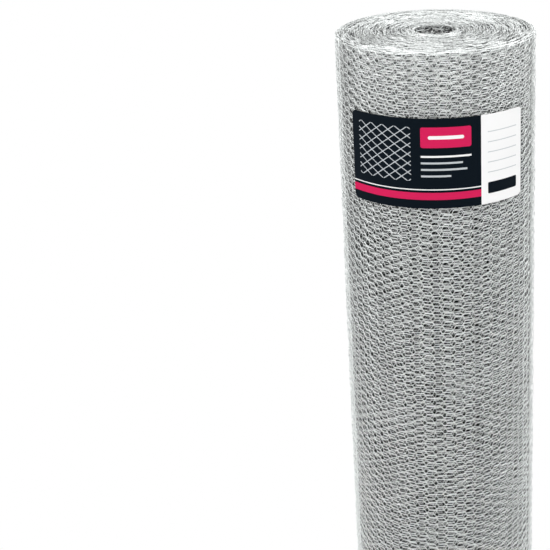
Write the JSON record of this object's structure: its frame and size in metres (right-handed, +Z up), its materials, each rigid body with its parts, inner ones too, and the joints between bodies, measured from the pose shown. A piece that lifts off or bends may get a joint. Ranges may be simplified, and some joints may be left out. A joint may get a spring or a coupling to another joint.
{
  "type": "roll of chicken wire",
  "caption": "Standing roll of galvanised hexagonal wire netting with an open bore along its axis and a card label bent round the front.",
  "frame": {"origin": "on the roll's axis, at the end that it stands on", "axes": "+Z up the roll's axis; the middle of the label faces -Y"},
  "size_m": [0.2798, 0.2806, 1.5],
  "materials": {
    "galvanised_wire": "bright galvanised wire",
    "label_card": "printed card, satin"
  },
  "bodies": {
    "root": {"netting_roll": "galvanised_wire", "label": "label_card"}
  },
  "joints": []
}
